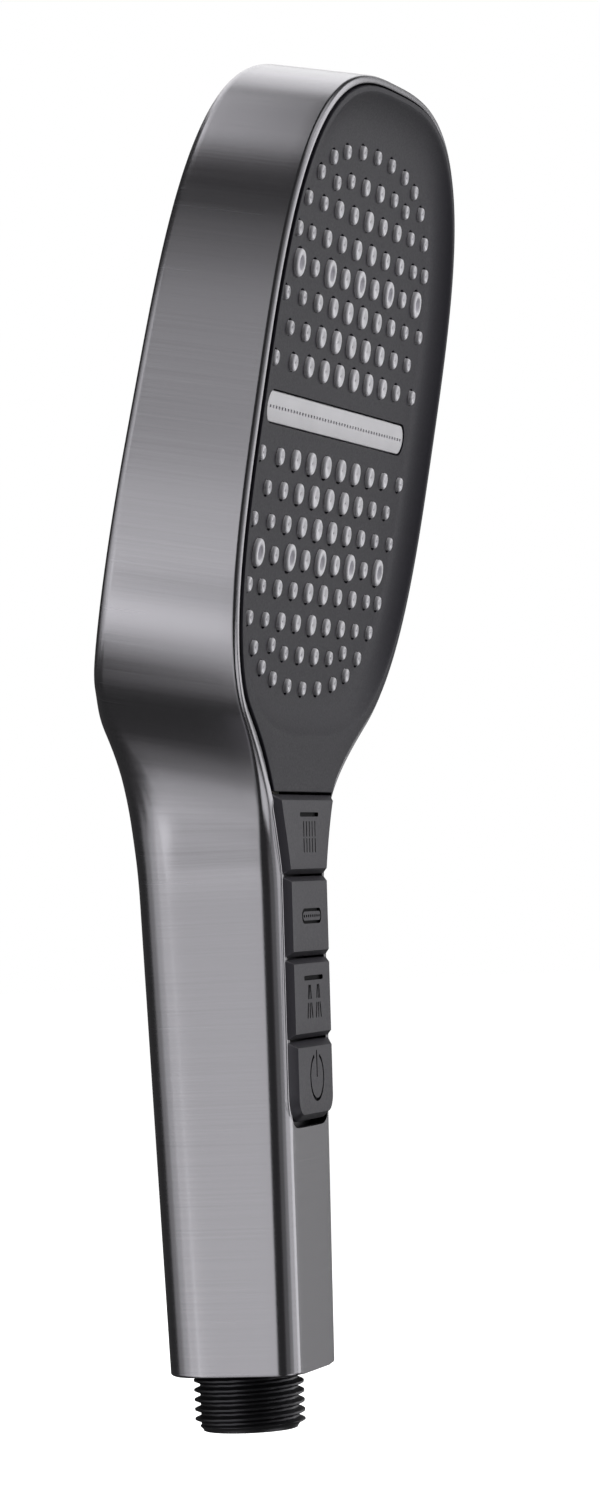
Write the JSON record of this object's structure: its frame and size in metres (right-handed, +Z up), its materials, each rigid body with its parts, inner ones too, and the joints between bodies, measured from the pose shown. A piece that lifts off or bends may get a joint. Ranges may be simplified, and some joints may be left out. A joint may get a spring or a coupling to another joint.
{
  "type": "handheld shower head",
  "caption": "Handheld shower head with a wide flat rounded spray face, a slot jet insert across it, mode keys down the handle and a threaded inlet.",
  "frame": {"origin": "centre of the inlet thread's end face", "axes": "+Z up the handle, -Y the spray side, +X to the right seen from the spray side"},
  "size_m": [0.1188, 0.0561, 0.2559],
  "materials": {
    "casing": "brushed gunmetal, lines across the length",
    "face_plate": "satin charcoal",
    "key_plastic": "satin charcoal",
    "black_plastic": "black moulded",
    "silicone": "matte pale grey",
    "insert": "satin pale grey",
    "seal": "black",
    "inner_plastic": "natural moulded",
    "steel": "bright"
  },
  "bodies": {
    "housing": {"rear_shell": "casing", "front_cover": "face_plate", "upper_nozzle_mat": "silicone", "lower_nozzle_mat": "silicone", "blade_insert": "insert", "spray_chamber": "inner_plastic", "chamber_gasket": "seal", "chamber_screw_1": "steel", "chamber_screw_2": "steel", "chamber_screw_3": "steel", "chamber_screw_4": "steel", "rain_tube": "inner_plastic", "massage_tube": "inner_plastic", "blade_tube": "inner_plastic", "rain_spring": "steel", "blade_spring": "steel", "massage_spring": "steel", "pause_spring": "steel", "key_frame": "black_plastic", "frame_screw_1": "steel", "frame_screw_2": "steel", "frame_screw_3": "steel", "frame_screw_4": "steel", "interlock_spring": "steel", "valve_block": "inner_plastic", "inlet_connector": "black_plastic", "handle_end_cap": "black_plastic", "inlet_seal": "seal", "supply_tube": "inner_plastic", "filter_screen": "steel", "flow_restrictor": "inner_plastic", "check_valve_body": "inner_plastic", "check_valve_spring": "steel"},
    "rain_key": {"key_rain": "key_plastic", "rain_plunger": "inner_plastic", "rain_seal": "seal"},
    "blade_key": {"key_blade": "key_plastic", "blade_plunger": "inner_plastic", "blade_seal": "seal"},
    "massage_key": {"key_massage": "key_plastic", "massage_plunger": "inner_plastic", "massage_seal": "seal"},
    "pause_key": {"key_pause": "key_plastic", "pause_plunger": "inner_plastic", "pause_seal": "seal"},
    "interlock": {"interlock_slide": "inner_plastic"},
    "check_poppet": {"check_valve_poppet": "inner_plastic"}
  },
  "joints": [
    {"name": "rain_key_press", "type": "slide", "parent": "housing", "child": "rain_key", "axis": [0, 1, 0], "range_m": [0, 0.0022], "stiffness_N_per_m": 500, "springref_m": -0.003, "deforming": ["rain_spring"]},
    {"name": "blade_key_press", "type": "slide", "parent": "housing", "child": "blade_key", "axis": [0, 1, 0], "range_m": [0, 0.0022], "stiffness_N_per_m": 500, "springref_m": -0.003, "deforming": ["blade_spring"]},
    {"name": "massage_key_press", "type": "slide", "parent": "housing", "child": "massage_key", "axis": [0, 1, 0], "range_m": [0, 0.0022], "stiffness_N_per_m": 500, "springref_m": -0.003, "deforming": ["massage_spring"]},
    {"name": "pause_key_press", "type": "slide", "parent": "housing", "child": "pause_key", "axis": [0, 1, 0], "range_m": [0, 0.0022], "stiffness_N_per_m": 500, "springref_m": -0.003, "deforming": ["pause_spring"]},
    {"name": "interlock_slide_down", "type": "slide", "parent": "housing", "child": "interlock", "axis": [0, 0, -1], "range_m": [0, 0.0012], "stiffness_N_per_m": 300, "springref_m": -0.003, "deforming": ["interlock_spring"]},
    {"name": "check_valve_open", "type": "slide", "parent": "housing", "child": "check_poppet", "axis": [0, 0, 1], "range_m": [0, 0.003], "stiffness_N_per_m": 120, "springref_m": -0.002, "deforming": ["check_valve_spring"]}
  ]
}
